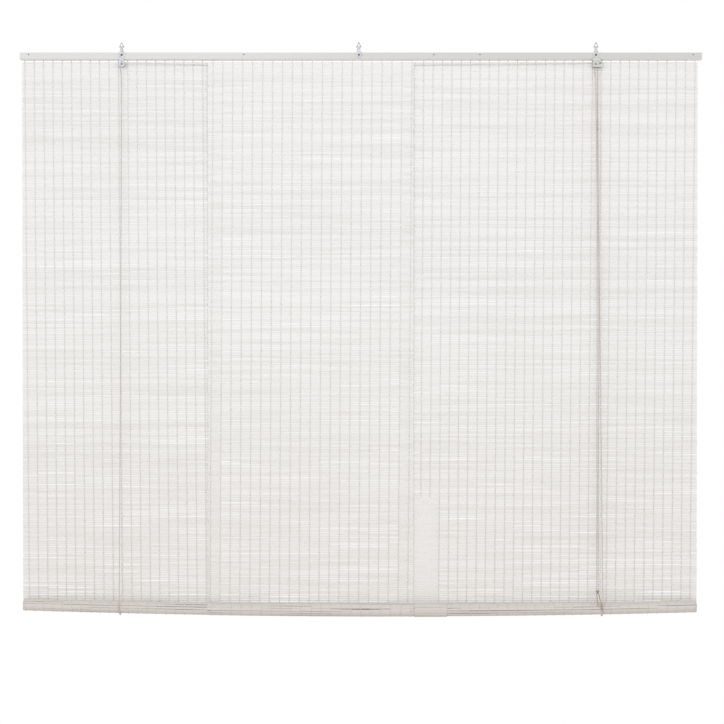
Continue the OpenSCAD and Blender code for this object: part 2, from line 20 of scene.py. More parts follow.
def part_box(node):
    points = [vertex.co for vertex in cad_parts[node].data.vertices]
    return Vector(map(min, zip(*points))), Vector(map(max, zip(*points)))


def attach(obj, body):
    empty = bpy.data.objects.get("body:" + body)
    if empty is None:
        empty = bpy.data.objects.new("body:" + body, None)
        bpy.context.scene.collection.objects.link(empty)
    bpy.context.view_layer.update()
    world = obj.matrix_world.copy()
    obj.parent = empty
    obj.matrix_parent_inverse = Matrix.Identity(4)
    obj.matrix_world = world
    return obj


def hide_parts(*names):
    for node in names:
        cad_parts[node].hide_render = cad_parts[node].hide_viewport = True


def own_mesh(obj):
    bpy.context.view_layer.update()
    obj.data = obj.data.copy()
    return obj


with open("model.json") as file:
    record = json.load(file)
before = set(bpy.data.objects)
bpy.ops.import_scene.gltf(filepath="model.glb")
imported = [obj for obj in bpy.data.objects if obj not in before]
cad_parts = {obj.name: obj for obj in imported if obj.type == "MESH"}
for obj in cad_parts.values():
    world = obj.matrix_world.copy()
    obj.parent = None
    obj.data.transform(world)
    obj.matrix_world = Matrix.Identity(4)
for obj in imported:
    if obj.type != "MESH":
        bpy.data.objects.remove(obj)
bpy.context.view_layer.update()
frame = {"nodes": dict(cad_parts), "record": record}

LOG = logging.getLogger("blind")
MM = 0.001
TRAVEL = 1.45
UP = (0.0, 0.0, 1.0)
Colour = Tuple[float, float, float]
Point = Tuple[float, float, float]
Pair = Tuple[float, float]


class Slot(Enum):
    """The record's material slots."""

    RAIL = "painted_wood"
    BAMBOO = "painted_bamboo"
    WARP = "warp_thread"
    ROD = "bare_wood"
    PLATE = "zinc_plate"
    SCREW = "dark_steel"
    WHEEL = "wheel_metal"
    RIVET = "rivet_metal"
    CORD = "white_cord"


class Body(Enum):
    """The frame's bodies that the new pieces ride on."""

    HEAD = "head"
    LOOPS = "cord_loops"
    ROLL = "bottom_roll"


class Sock:
    """A shader socket that takes part in Python sums, each of which adds a Math node."""

    def __init__(self, web: "Web", socket: bpy.types.NodeSocket) -> None:
        """Keeps the socket and the web that it is in."""
        self.web = web
        self.socket = socket

    def _sum(self, operation: str, left: "Value", right: "Value") -> "Sock":
        """Adds one Math node.

        Args:
            operation: the Math node's operation.
            left: its first value.
            right: its second value.

        Returns:
            The node's output.
        """
        return self.web.node("ShaderNodeMath", {"operation": operation}, {0: left, 1: right})

    def __add__(self, other: "Value") -> "Sock":
        """Adds other."""
        return self._sum("ADD", self, other)

    def __radd__(self, other: "Value") -> "Sock":
        """Is added to other."""
        return self._sum("ADD", other, self)

    def __sub__(self, other: "Value") -> "Sock":
        """Takes other away."""
        return self._sum("SUBTRACT", self, other)

    def __rsub__(self, other: "Value") -> "Sock":
        """Is taken away from other."""
        return self._sum("SUBTRACT", other, self)

    def __mul__(self, other: "Value") -> "Sock":
        """Multiplies by other."""
        return self._sum("MULTIPLY", self, other)

    def __rmul__(self, other: "Value") -> "Sock":
        """Multiplies other."""
        return self._sum("MULTIPLY", other, self)

    def __abs__(self) -> "Sock":
        """Drops the sign."""
        return self._sum("ABSOLUTE", self, 0.0)

    def fraction(self) -> "Sock":
        """Keeps what is behind the point."""
        return self._sum("FRACT", self, 0.0)

    def wave(self) -> "Sock":
        """Gives the sine."""
        return self._sum("SINE", self, 0.0)

    def larger(self, other: "Value") -> "Sock":
        """Gives the larger of this and other."""
        return self._sum("MAXIMUM", self, other)

    def within(self, low: float, high: float) -> "Sock":
        """Maps the span from low to high onto 0 to 1, smoothly, and stops there.

        Args:
            low: the value that gives 0.
            high: the value that gives 1.

        Returns:
            The mapped value.
        """
        span = {"Value": self, "From Min": low, "From Max": high}
        return self.web.node("ShaderNodeMapRange", {"interpolation_type": "SMOOTHSTEP"}, span)


Value = Union[Sock, float, int, Sequence[float]]


class Web:
    """The nodes of one tree, a material's or the world's."""

    def __init__(self, tree: bpy.types.NodeTree) -> None:
        """Keeps the tree, without the nodes that it came with."""
        self.tree = tree
        self.tree.nodes.clear()

    def node(self, kind: str, settings: Optional[Dict[str, Any]] = None,
             links: Optional[Dict[Union[str, int], Value]] = None, out: Union[str, int] = 0) -> Sock:
        """Adds a node of any type.

        Args:
            kind: the node's type.
            settings: its properties, set first.
            links: the values or sockets for its inputs.
            out: the output that is wanted.

        Returns:
            That output.
        """
        made = self.tree.nodes.new(kind)
        for key, value in (settings or {}).items():
            setattr(made, key, value)
        for key, value in (links or {}).items():
            self.feed(made.inputs[key], value)
        return Sock(self, made.outputs[out])

    def feed(self, target: bpy.types.NodeSocket, value: Value) -> None:
        """Links a socket to target, or sets target's own value."""
        if isinstance(value, Sock):
            self.tree.links.new(value.socket, target)
        else:
            target.default_value = value

    def end(self, kind: str, surface: Sock) -> None:
        """Adds the tree's output node, fed with a shader."""
        self.feed(self.tree.nodes.new(kind).inputs["Surface"], surface)


class Surface(Web):
    """The nodes of one material, with its Principled shader."""

    def __init__(self, name: str) -> None:
        """Starts a material of that name, with a bare shader."""
        self.material = bpy.data.materials.new(name)
        self.material.use_nodes = True
        super().__init__(self.material.node_tree)
        self.shader = self.tree.nodes.new("ShaderNodeBsdfPrincipled")
        self.end("ShaderNodeOutputMaterial", Sock(self, self.shader.outputs[0]))

    def place(self) -> Sock:
        """Gives the Object coordinates."""
        return self.node("ShaderNodeTexCoord", out="Object")

    def axis(self, letter: str) -> Sock:
        """Gives one Object coordinate, by its letter."""
        return self.node("ShaderNodeSeparateXYZ", links={0: self.place()}, out=letter)

    def attribute(self, name: str) -> Sock:
        """Gives a number that the mesh carries."""
        return self.node("ShaderNodeAttribute", {"attribute_name": name}, out="Fac")

    def grain(self, scale: Point, detail: float = 3.0, roughness: float = 0.55) -> Sock:
        """Gives noise that is stretched along the axes.

        Args:
            scale: how many grains there are to a metre along each axis.
            detail: the noise's detail.
            roughness: the share of the fine detail.

        Returns:
            A value round 0.5.
        """
        turned = self.node("ShaderNodeMapping", links={"Vector": self.place(), "Scale": scale})
        return self.node("ShaderNodeTexNoise", links={
            "Vector": turned, "Scale": 1.0, "Detail": detail, "Roughness": roughness})

    def mix(self, share: Value, first: Union[Sock, Colour], second: Union[Sock, Colour]) -> Sock:
        """Mixes two colours.

        Args:
            share: how much of the second there is.
            first: the colour at 0.
            second: the colour at 1.

        Returns:
            The mixed colour.
        """
        ends = [c if isinstance(c, Sock) else (*c, 1.0) for c in (first, second)]
        return self.node("ShaderNodeMix", {"data_type": "RGBA"}, {0: share, 6: ends[0], 7: ends[1]}, 2)

    def bump(self, height: Sock, depth: float, strength: float) -> None:
        """Feeds the shader's normal with a height.

        Args:
            height: the height, as a share of depth.
            depth: the height's scale, in metres.
            strength: the bump's strength.
        """
        links = {"Strength": strength, "Distance": depth, "Height": height}
        self.feed(self.shader.inputs["Normal"], self.node("ShaderNodeBump", links=links))

    def dress(self, **inputs: Value) -> bpy.types.Material:
        """Feeds the shader's inputs, named with _ for a space, and returns the material."""
        for key, value in inputs.items():
            self.feed(self.shader.inputs[key.replace("_", " ")], value)
        return self.material


@dataclass(frozen=True)
class PaintedBamboo:
    """Thin white paint on split bamboo: each slat has its own tone, with fibres and faint nodes."""

    name: str = "painted_bamboo"
    pale: Colour = (0.85, 0.84, 0.83)
    dull: Colour = (0.75, 0.737, 0.722)
    bare: Colour = (0.66, 0.57, 0.49)
    # Painted shade and a warm tint: the paint colour that the slats take towards the bottom of the blind.
    foot_shade_tint: Colour = (0.775, 0.745, 0.72)
    # Painted shade: the dark colour of the turns inside the roll and of the roll's underside.
    roll_painted_shade: Colour = (0.17, 0.135, 0.10)
    worn_share: float = 0.28
    worn_span: Pair = (0.80, 0.98)
    foot_shade_share: float = 0.5
    foot_shade_span: Pair = (0.5, 1.7)
    fibre_scale: Point = (9.0, 520.0, 520.0)
    cloud_scale: Point = (5.0, 5.0, 9.0)
    node_rate: float = 2.7
    node_width: float = 0.012
    node_scatter: float = 13.0
    node_share: float = 0.18
    node_height: float = 1.6
    relief: float = 0.25 * MM
    roughness: float = 0.52

    def make(self) -> bpy.types.Material:
        """Makes the material."""
        web = Surface(self.name)
        tone = web.attribute("tone")
        fibres = web.grain(self.fibre_scale)
        cloud = web.grain(self.cloud_scale, 2.0)
        along = (web.axis("X") * self.node_rate + tone * self.node_scatter).fraction() - 0.5
        node = 1 - abs(along).within(0.0, self.node_width)
        body = web.mix((tone * 0.5 + fibres * 0.5 - 0.1).within(0.0, 1.0), self.pale, self.dull)
        worn = (fibres * 0.7 + cloud * 0.6).within(*self.worn_span) * self.worn_share
        # Painted shade and a warm tint: from half a metre down, the paint is drawn darker and warmer.
        low = (0 - web.axis("Z")).within(*self.foot_shade_span)
        painted = web.mix(low * self.foot_shade_share, body, self.foot_shade_tint)
        colour = web.mix(worn + node * self.node_share, painted, self.bare)
        # Painted shade, by the mesh's shade number: dark inside the roll, a little darker on its underside.
        colour = web.mix(web.attribute("shade"), colour, self.roll_painted_shade)
        web.bump(fibres + node * self.node_height, self.relief, 0.5)
        return web.dress(Base_Color=colour, Roughness=self.roughness + fibres * 0.18,
                         Specular_IOR_Level=0.35)


@dataclass(frozen=True)
class PaintedWood:
    """White paint on a planed batten, with grain under it; painted light makes it paler at the left end and
    on its underside, and its lower edge is bare brown wood with painted shadow.
    """

    # Painted light: the paint is paler at the left end than at the right, for the light's falloff along the
    # rail.
    left: Colour = (0.685, 0.685, 0.68)
    right: Colour = (0.605, 0.60, 0.585)
    bare: Colour = (0.36, 0.27, 0.22)
    half_length: float = 1.0
    bare_top: float = -8.7 * MM
    bare_foot: float = -9.5 * MM
    under_foot: float = -9.9 * MM
    # Painted light: the underside's paler paint stands in for the light that bounces onto it.
    underside_painted_light: Colour = (0.93, 0.92, 0.91)
    edge_share: float = 0.3
    edge_fade: float = 0.28
    grain_scale: Point = (4.0, 160.0, 160.0)
    cloud_scale: Point = (3.0, 20.0, 20.0)
    grain_span: Pair = (0.68, 0.8)
    relief: float = 0.3 * MM
    roughness: float = 0.42

    def make(self) -> bpy.types.Material:
        """Makes the material."""
        web = Surface("painted_wood")
        grain = web.grain(self.grain_scale)
        cloud = web.grain(self.cloud_scale, 2.0)
        along = web.axis("X").within(-self.half_length, self.half_length)
        # Painted light: the paint goes from the left colour to the right colour along the rail.
        paint = web.mix((along + cloud * 0.5 - 0.25).within(0.0, 1.0), self.left, self.right)
        height = web.axis("Z") + (grain - 0.5) * MM
        # Painted light: below the lower edge, the paint turns paler.
        under = 1 - web.axis("Z").within(self.under_foot, self.bare_foot)
        # Bare brown wood along the lower edge, partly painted shadow under it; it fades towards the right,
        # with a little wear from the grain.
        edge = (1 - height.within(self.bare_foot, self.bare_top)) * (1 - under)
        worn = edge * (self.edge_share - along * self.edge_fade) + grain.within(*self.grain_span) * 0.1
        colour = web.mix(worn, web.mix(under, paint, self.underside_painted_light), self.bare)
        web.bump(grain, self.relief, 0.45)
        return web.dress(Base_Color=colour, Roughness=self.roughness + grain * 0.2, Specular_IOR_Level=0.4)


@dataclass(frozen=True)
class TwistedThread:
    """Cotton warp thread, grey and a little brown, with fibres across it; painted shade and a warm tint
    make it darker and browner towards the bottom.
    """

    pale: Colour = (0.885, 0.87, 0.855)
    dark: Colour = (0.82, 0.79, 0.77)
    # Painted shade and a warm tint: the thread's colour towards the bottom of the blind.
    foot_shade_tint: Colour = (0.76, 0.69, 0.645)
    foot_shade_share: float = 0.5
    foot_shade_span: Pair = (0.5, 1.6)
    twist_down: float = 2600.0
    twist_across: float = 1900.0
    fuzz_scale: Point = (30.0, 30.0, 40.0)
    relief: float = 0.15 * MM
    roughness: float = 0.82

    def make(self) -> bpy.types.Material:
        """Makes the material."""
        web = Surface("warp_thread")
        turns = web.axis("Z") * self.twist_down + web.axis("X") * self.twist_across
        twist = (turns.wave() + 1) * 0.5
        fuzz = web.grain(self.fuzz_scale, 2.0)
        colour = web.mix((twist * 0.35 + fuzz * 0.9 - 0.15).within(0.0, 1.0), self.pale, self.dark)
        # Painted shade and a warm tint: lower down, the thread is drawn darker and browner.
        low = (0 - web.axis("Z")).within(*self.foot_shade_span)
        colour = web.mix(low * self.foot_shade_share, colour, self.foot_shade_tint)
        web.bump(twist, self.relief, 0.5)
        return web.dress(Base_Color=colour, Roughness=self.roughness + twist * 0.1, Specular_IOR_Level=0.2)


@dataclass(frozen=True)
class TwistedCord:
    """Lift cord of three twisted strands: pale on the strands, with painted shade, brown, in the lay
    between them.
    """

    pale: Colour = (0.74, 0.69, 0.67)
    dark: Colour = (0.44, 0.35, 0.315)
    name: str = "white_cord"
    groove_share: float = 0.75
    soil_share: float = 0.25
    soil_span: Pair = (0.45, 0.8)
    soil_scale: Point = (8.0, 8.0, 14.0)
    fuzz_scale: Point = (900.0, 900.0, 260.0)
    relief: float = 0.12 * MM
    roughness: float = 0.74

    def make(self) -> bpy.types.Material:
        """Makes the material."""
        web = Surface(self.name)
        # Painted shade: the lay between the strands is drawn dark brown.
        groove = (1 - web.attribute("strand")) * self.groove_share
        fuzz = web.grain(self.fuzz_scale, 2.0)
        soil_and_shade = web.grain(self.soil_scale, 2.0).within(*self.soil_span) * self.soil_share
        web.bump(fuzz, self.relief, 0.6)
        return web.dress(Base_Color=web.mix(groove + soil_and_shade, self.pale, self.dark),
                         Roughness=self.roughness + fuzz * 0.18, Specular_IOR_Level=0.2)


@dataclass(frozen=True)
class Metal:
    """Plated or bare metal with fine scratches, dull patches and stained patches."""

    name: str
    bright: Colour
    dull: Colour
    stain: Colour
    roughness: float = 0.34
    metallic: float = 0.9
    dull_span: Pair = (0.35, 0.7)
    stain_span: Pair = (0.6, 0.78)
    stain_share: float = 0.5
    patch_scale: Point = (160.0, 160.0, 160.0)
    scratch_scale: Point = (2200.0, 2200.0, 260.0)
    relief: float = 0.05 * MM

    def make(self) -> bpy.types.Material:
        """Makes the material."""
        web = Surface(self.name)
        patch = web.grain(self.patch_scale, 4.0)
        scratch = web.grain(self.scratch_scale, 2.0)
        plate = web.mix(patch.within(*self.dull_span), self.bright, self.dull)
        colour = web.mix(patch.within(*self.stain_span) * self.stain_share, plate, self.stain)
        web.bump(scratch + patch, self.relief, 0.35)
        return web.dress(Base_Color=colour, Metallic=self.metallic,
                         Roughness=self.roughness + patch * 0.18 + scratch * 0.08)


@dataclass(frozen=True)
class BareWood:
    """The end grain and side of an unpainted rod."""

    pale: Colour = (0.70, 0.58, 0.42)
    dark: Colour = (0.48, 0.35, 0.22)
    dark_span: Pair = (0.3, 0.75)
    grain_scale: Point = (6.0, 700.0, 700.0)
    relief: float = 0.2 * MM
    roughness: float = 0.6

    def make(self) -> bpy.types.Material:
        """Makes the material."""
        web = Surface("bare_wood")
        grain = web.grain(self.grain_scale)
        web.bump(grain, self.relief, 0.4)
        return web.dress(Base_Color=web.mix(grain.within(*self.dark_span), self.pale, self.dark),
                         Roughness=self.roughness + grain * 0.2)


@dataclass
class Hang:
    """How a mat lies that hangs from the rail and leans a little as it goes down."""

    top: float
    foot: float
    top_y: float
    foot_y: float

    def place(self, x: float, down: float, deep: float) -> Point:
        """Gives a place on the mat.

        Args:
            x: the place along the rail.
            down: the way down the mat from its top.
            deep: the way from the mat's middle towards the wall.

        Returns:
            The point in the frame.
        """
        share = down / (self.top - self.foot)
        return (x, self.top_y + (self.foot_y - self.top_y) * share + deep, self.top - down)

    def shade(self, down: float) -> float:
        """Gives how dark the mat is there, which is 0 as it hangs in the light."""
        return 0.0


@dataclass
class Winding:
    """How a mat lies that is wound on the rod: down the roll's back, under it, up its front and inwards."""

    axis_y: float
    axis_z: float
    radius: float
    turn_pitch: float
    half_length: float
    sag: float = 13.0 * MM
    lift: float = 4.0 * MM
    lowest: float = 0.09
    swell_share: float = 0.10
    # Painted shade: past this angle round the winding, the turns are drawn fully dark.
    inside: float = 6.45
    # Painted shade: how much darker the roll's underside is drawn.
    soil_and_shade: float = 0.2
    underside_shade_power: int = 4

    def place(self, x: float, down: float, deep: float) -> Point:
        """Gives a place on the mat.

        Args:
            x: the place along the roll.
            down: the way along the winding from its outer end.
            deep: the way from the mat's middle outwards.

        Returns:
            The point in the frame.
        """
        angle = self.angle(down)
        wound = self.radius - self.turn_pitch / math.tau * angle
        radius = wound * (1 + self.swell_share * self.crown(x)) + deep
        y = self.axis_y + radius * math.cos(angle)
        z = self.axis_z - self.drop(x) - radius * math.sin(angle)
        return (x, y, z)

    def crown(self, x: float) -> float:
        """Gives how full the bow is at a place along the roll, with 1 where it is lowest."""
        return 1 - ((x - self.lowest) / self.half_length) ** 2

    def drop(self, x: float) -> float:
        """Gives how far the roll's axis is bowed down at a place."""
        return self.sag * self.crown(x) - self.lift

    def growth(self, x: float) -> float:
        """Gives how much thicker the roll is at a place than at its ends."""
        return self.radius * self.swell_share * self.crown(x)

    def angle(self, down: float) -> float:
        """Gives how far round the winding a place is, in radians from its outer end at the back."""
        drift = self.turn_pitch / math.tau
        return (self.radius - math.sqrt(max(self.radius ** 2 - 2 * drift * down, 0.0))) / drift

    def shade(self, down: float) -> float:
        """Gives the painted shade of the mat there: full inside the roll, and a little on its underside."""
        angle = self.angle(down)
        if angle > self.inside:
            return 1.0
        return self.soil_and_shade * max(math.sin(angle), 0.0) ** self.underside_shade_power

    def length(self, core: float) -> float:
        """Gives the winding's length down to a core.

        Args:
            core: the radius where the winding ends.

        Returns:
            The length.
        """
        drift = self.turn_pitch / math.tau
        return (self.radius ** 2 - core ** 2) / (2 * drift)


Lay = Union[Hang, Winding]


def finish_mesh(name: str, bm: bmesh.types.BMesh, material: bpy.types.Material,
                smooth: bool) -> bpy.types.Object:
    """Turns a bmesh into a linked object.

    Args:
        name: the object's name.
        bm: the bmesh, which is freed.
        material: the finish.
        smooth: whether its faces are shaded smooth.

    Returns:
        The object.
    """
    bmesh.ops.recalc_face_normals(bm, faces=bm.faces)
    for face in bm.faces:
        face.smooth = smooth
    mesh = bpy.data.meshes.new(name)
    bm.to_mesh(mesh)
    bm.free()
    mesh.materials.append(material)
    made = bpy.data.objects.new(name, mesh)
    bpy.context.scene.collection.objects.link(made)
    return made


def seat(piece: bpy.types.Object, body: Body, slot: Slot, *nodes: str) -> bpy.types.Object:
    """Attaches a piece to the body that it rides on, and hides the nodes that it stands for.

    Args:
        piece: the piece.
        body: the body that it rides on.
        slot: its material slot; not used.
        nodes: the nodes that it replaces.

    Returns:
        The piece.
    """
    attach(piece, body.value)
    if nodes:
        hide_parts(*nodes)
    LOG.info("%s: %d faces on %s", piece.name, len(piece.data.polygons), body.value)
    return piece


def long_edges(bm: bmesh.types.BMesh, axis: int, least: float) -> List[bmesh.types.BMEdge]:
    """Gives the edges that run along an axis.

    Args:
        bm: the bmesh.
        axis: 0, 1 or 2 for X, Y or Z.
        least: the least length along it.

    Returns:
        The edges.
    """
    return [e for e in bm.edges if abs(e.verts[0].co[axis] - e.verts[1].co[axis]) > least]


def row_of_copies(bm: bmesh.types.BMesh, step: Point, copies: int) -> None:
    """Repeats all of a bmesh along a line.

    Args:
        bm: the bmesh.
        step: the way from each copy to the next.
        copies: how many there are in all.
    """
    whole = bm.verts[:] + bm.edges[:] + bm.faces[:]
    bmesh.ops.spin(bm, geom=whole, cent=(0, 0, 0), axis=UP, dvec=step, angle=0.0,
                   steps=copies - 1, use_duplicate=True)


@dataclass
class SlatMat:
    """One woven mat: half-round slats, a little wavy between the warps, and the warps' twisted pairs."""

    name: str
    left: float
    right: float
    warps: List[float]
    rows: List[float]
    lay: Lay
    seed: int
    pitch: float
    thickness: float = 1.7 * MM
    gap: float = 0.5 * MM
    drift: float = 1.2 * MM
    foot_drift: float = 2.1 * MM
    top_open: float = 0.03
    foot_open: float = 0.2
    widest: float = 1.6 * MM
    shut: float = 0.08 * MM
    split_start: float = 0.62
    split_gain: float = 2.0
    split_span: float = 0.25
    loose: float = 0.16 * MM
    loose_drift: float = 0.9
    loose_spread: float = 0.35
    uneven: float = 0.12 * MM
    ragged: float = 0.7 * MM
    edge_share: float = 0.12
    cloud_share: float = 0.7
    tucked_tone: float = 0.15
    thread: float = 0.85 * MM
    thread_step: float = 0.8 * MM
    over_share: float = 0.75
    lean: float = 0.0
    lean_pivot: float = 0.35
    hold: float = 1.6 * MM
    hold_share: float = 0.72
    wander: float = 0.9 * MM
    shift_rates: Point = (7.0, 1.73, 3.7)
    split_rates: Point = (5.0, 3.7, 2.3)
    sway_rates: Point = (5.0, 2.31, 5.1)
    cloud_rates: Point = (4.0, 1.37, 4.3)
    wander_rates: Point = (5.3, 2.2, 1.9)
    bar_step: float = 2.0
    thread_scale: float = 10.0
    closed: Sequence[Point] = ()
    tucked: Sequence[Point] = ()
    # Painted light: this many rows next to the rail and next to the roll are drawn paler, in place of the
    # shadow that these cast.
    painted_light_rows: int = 1
    shifts: List[List[float]] = field(default_factory=list)
    opens: List[List[float]] = field(default_factory=list)

    def rings(self) -> List[float]:
        """Gives the places along a slat where its width can change: at both sides of each warp."""
        places = [self.left]
        for warp in self.warps:
            places += [warp - self.hold, warp + self.hold]
        return places + [self.right]

    def lean_at(self, row: int) -> float:
        """Gives how far the warps have leaned aside at a row."""
        return self.lean * (row / len(self.rows) - self.lean_pivot)

    def _noise(self, rates: Point, along: float, down: float) -> float:
        """Gives smooth noise over the mat.

        Args:
            rates: how fast it changes along, down and from seed to seed.
            along: the place along the rail, or a warp's number.
            down: the row, or the way down the mat.

        Returns:
            A value round 0.
        """
        return noise.noise(Vector((along * rates[0], down * rates[1], self.seed * rates[2])))

    def weave(self, rng: random.Random) -> None:
        """Chooses how far each slat is off its row between two warps, and how open it is below."""
        rings = self.rings()
        cells = [(first + second) / 2 for first, second in zip(rings[::2], rings[1::2])]
        for row, down in enumerate(self.rows):
            self.shifts.append([self._shift(rng, row, x) for x in cells])
            self.opens.append([self._opening(x, down, row) for x in cells])

    def _shift(self, rng: random.Random, row: int, x: float) -> float:
        """Gives how far a slat is off its row in one cell.

        Args:
            rng: the mat's own random numbers.
            row: the slat's row.
            x: the cell's place along the rail.

        Returns:
            The way down.
        """
        drift = self._noise(self.shift_rates, x, row)
        return self.loose * (self.loose_drift * drift + rng.gauss(0, self.loose_spread))

    @staticmethod
    def _inside(spans: Sequence[Point], x: float, down: float) -> bool:
        """Tells whether a place is in one of the spans, each with its ends along the rail and its top."""
        return any(first < x < last and down > top for first, last, top in spans)

    def _opening(self, x: float, down: float, row: int) -> float:
        """Gives how open a cell is below its slat; lower slats lie less evenly.

        Args:
            x: the cell's place along the rail.
            down: its place down the mat.
            row: the slat's row.

        Returns:
            The gap.
        """
        if self._inside(self.closed, x, down):
            return self.shut
        low = row / len(self.rows)
        chance = self.top_open + (self.foot_open - self.top_open) * low
        drift = self.drift + (self.foot_drift - self.drift) * low
        split = self._noise(self.split_rates, x, row) - self.split_start + self.split_gain * chance
        wide = self.widest * min(max(split / self.split_span, 0.0), 1.0)
        return max(self.gap + drift * self._noise(self.sway_rates, x, row) + wide, self.shut)

    def slats(self, finish: bpy.types.Material) -> bpy.types.Object:
        """Builds the slats: one bar is shaped, repeated for each row, then laid and opened cell by cell.

        Args:
            finish: the slats' material.

        Returns:
            The slats as one piece.
        """
        rng = random.Random(self.seed)
        rings = self.rings()
        self.weave(rng)
        bm = self._bars(len(rings))
        tones = [rng.random() for _ in self.rows]
        ends = [(rng.uniform(-1, 1), rng.uniform(-1, 1)) for _ in self.rows]
        depths = [rng.gauss(0, self.uneven) for _ in self.rows]
        tone_layer = bm.verts.layers.float.new("tone")
        shade_layer = bm.verts.layers.float.new("shade")
        for vert in bm.verts:
            row = round(-vert.co.z / self.bar_step)
            ring = round(vert.co.x)
            x = rings[ring]
            if ring in (0, len(rings) - 1):
                x += ends[row][0 if ring == 0 else 1] * self.ragged
            else:
                x += self.lean_at(row)
            high = vert.co.z + self.bar_step * row
            up = high * self.pitch + (0.5 - high) * self.opens[row][ring // 2]
            down = self.rows[row] + self.shifts[row][ring // 2] - up
            deep = vert.co.y * self.thickness + depths[row]
            # Painted light: rows near either end of the mat get a paler tone, against the shadow of the
            # rail and of the roll.
            painted_light_fade = min(row, len(self.rows) - row) / self.painted_light_rows
            faded = self.tucked_tone if self._inside(self.tucked, x, down) else min(painted_light_fade, 1.0)
            cloud = self._noise(self.cloud_rates, x, row)
            vert[tone_layer] = min(max(tones[row] + self.cloud_share * cloud, 0.0), 1.0) * faded
            vert[shade_layer] = self.lay.shade(down)
            vert.co = self.lay.place(x, down, deep)
        return finish_mesh(self.name, bm, finish, False)

    def _bars(self, rings: int) -> bmesh.types.BMesh:
        """Builds plain half-round bars, one below the other, with a ring of points for each step along X.

        Args:
            rings: how many rings a bar has.

        Returns:
            The bars.
        """
        bm = bmesh.new()
        bmesh.ops.create_cube(bm, size=1.0)
        bmesh.ops.translate(bm, vec=(0.5, 0, 0), verts=bm.verts)
        bmesh.ops.scale(bm, vec=(rings - 1, 1, 1), verts=bm.verts)
        along = set(long_edges(bm, 0, 0.5))
        front = [e for e in bm.edges if all(v.co.y < 0 for v in e.verts) and e not in along]
        bmesh.ops.subdivide_edges(bm, edges=front, cuts=1, use_grid_fill=True)
        for vert in bm.verts:
            if vert.co.y < 0 and abs(vert.co.z) > 0.25:
                vert.co.y = -self.edge_share
        bmesh.ops.subdivide_edges(bm, edges=long_edges(bm, 0, 1.5), cuts=rings - 2, use_grid_fill=True)
        row_of_copies(bm, (0, 0, -self.bar_step), len(self.rows))
        return bm

    def threads(self, name: str, finish: bpy.types.Material) -> bpy.types.Object:
        """Builds the warps: two threads each, one over a slat where the other is under it.

        Args:
            name: the piece's name.
            finish: the threads' material.

        Returns:
            The threads as one piece.
        """
        steps = 2 * len(self.rows) - 1
        thin = 1 / self.thread_scale
        bm = bmesh.new()
        bmesh.ops.create_cone(bm, cap_ends=True, segments=3, radius1=thin, radius2=thin, depth=steps)
        bmesh.ops.translate(bm, vec=(0, 0, -steps / 2), verts=bm.verts)
        bmesh.ops.subdivide_edges(bm, edges=long_edges(bm, 2, 0.5), cuts=steps - 1, use_grid_fill=True)
        row_of_copies(bm, (1.0, 0, 0), 2 * len(self.warps))
        over = self.thickness / 2 + self.over_share * self.thread
        hold = self.hold_share * self.pitch / 2
        for vert in bm.verts:
            number = round(vert.co.x)
            warp, phase = divmod(number, 2)
            ring = round(-vert.co.z)
            row, lower = divmod(ring, 2)
            front = (row + phase) % 2 == 0
            shift = (self.shifts[row][warp] + self.shifts[row][warp + 1]) / 2
            down = self.rows[row] + (hold if lower else -hold) + shift
            behind = self._inside(self.tucked, self.warps[warp], down)
            deep = (-over if front and not behind else over) + vert.co.y * self.thread_scale * self.thread
            sway = self._noise(self.wander_rates, warp, down) * self.wander
            x = self.warps[warp] + (phase - 0.5) * self.thread_step + sway + self.lean_at(row)
            x += (vert.co.x - number) * self.thread_scale * self.thread
            vert.co = self.lay.place(x, down, deep)
        return finish_mesh(name, bm, finish, True)


